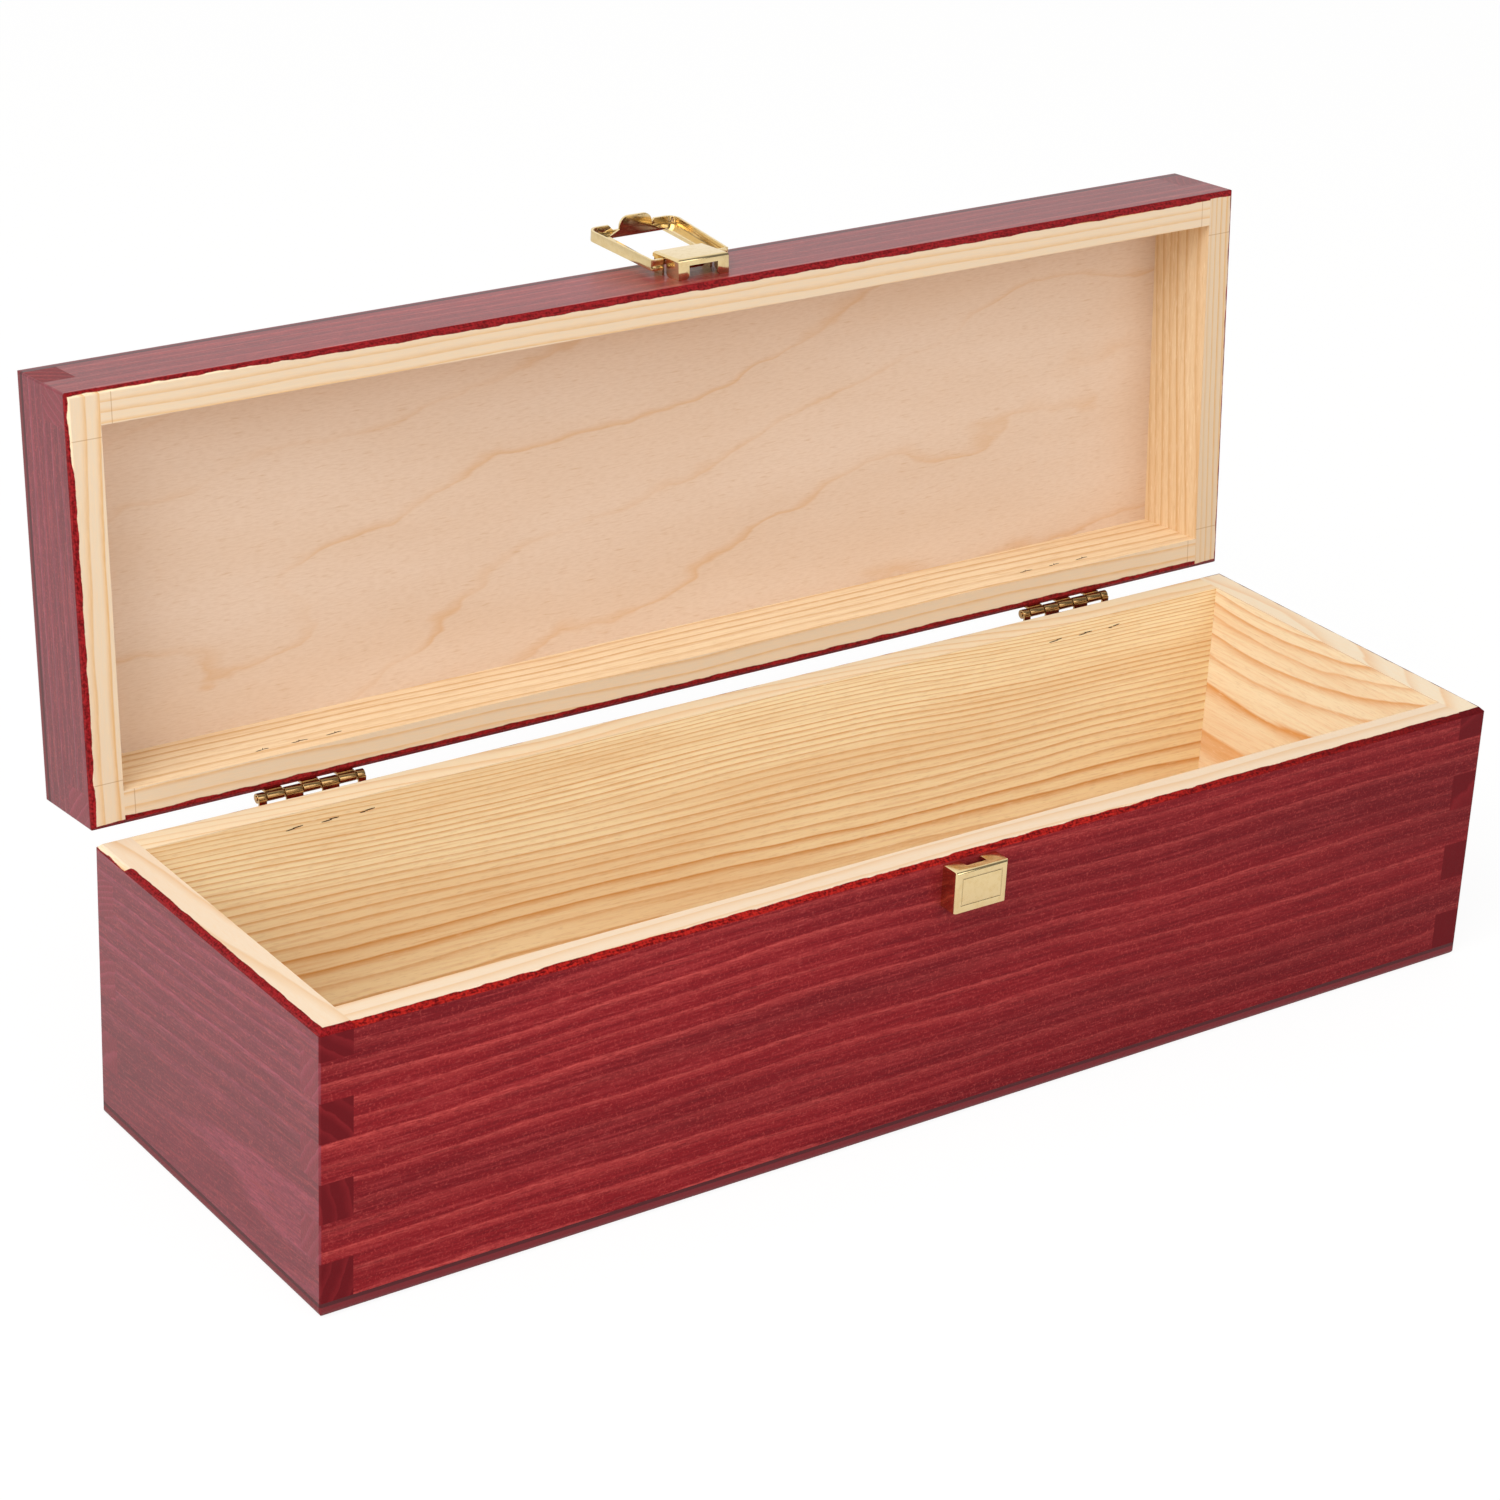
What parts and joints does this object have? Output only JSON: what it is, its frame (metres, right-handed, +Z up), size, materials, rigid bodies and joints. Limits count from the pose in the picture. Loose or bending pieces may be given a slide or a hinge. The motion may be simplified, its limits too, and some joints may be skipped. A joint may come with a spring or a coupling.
{
  "type": "wooden wine box",
  "caption": "Long rectangular wooden box with finger-jointed corners, a hinged lid standing open and a folding loop latch; stained outside, bare pine inside.",
  "frame": {"origin": "centre of the box's underside", "axes": "+X along the box to its right end, +Y to the back, +Z up"},
  "size_m": [0.35, 0.1606, 0.1896],
  "materials": {
    "stained_pine": "satin stain outside, bare inside",
    "birch_plywood": "stained outside, bare inside",
    "gold_plated_steel": "polished",
    "antique_brass": "burnished",
    "nail_steel": "dull"
  },
  "bodies": {
    "base": {"bottom_panel": "birch_plywood", "base_front_wall": "stained_pine", "base_back_wall": "stained_pine", "base_left_wall": "stained_pine", "base_right_wall": "stained_pine", "latch_catch": "gold_plated_steel", "left_hinge_base_leaf": "antique_brass", "left_hinge_pin": "antique_brass", "left_hinge_base_nails": "nail_steel", "right_hinge_base_leaf": "antique_brass", "right_hinge_pin": "antique_brass", "right_hinge_base_nails": "nail_steel"},
    "lid": {"lid_panel": "birch_plywood", "lid_front_wall": "stained_pine", "lid_back_wall": "stained_pine", "lid_left_wall": "stained_pine", "lid_right_wall": "stained_pine", "latch_bracket": "gold_plated_steel", "left_hinge_lid_leaf": "antique_brass", "left_hinge_lid_nails": "nail_steel", "right_hinge_lid_leaf": "antique_brass", "right_hinge_lid_nails": "nail_steel"},
    "loop": {"latch_loop": "gold_plated_steel"}
  },
  "joints": [
    {"name": "lid_hinge", "type": "hinge", "parent": "base", "child": "lid", "pos_m": [0, 0.0551, 0.0741], "axis": [1, 0, 0], "range_deg": [0, 94.3]},
    {"name": "latch_swing", "type": "hinge", "parent": "lid", "child": "loop", "pos_m": [0.0032, 0.0745, 0.18536], "axis": [1, 0, 0], "range_deg": [0, 174]}
  ]
}
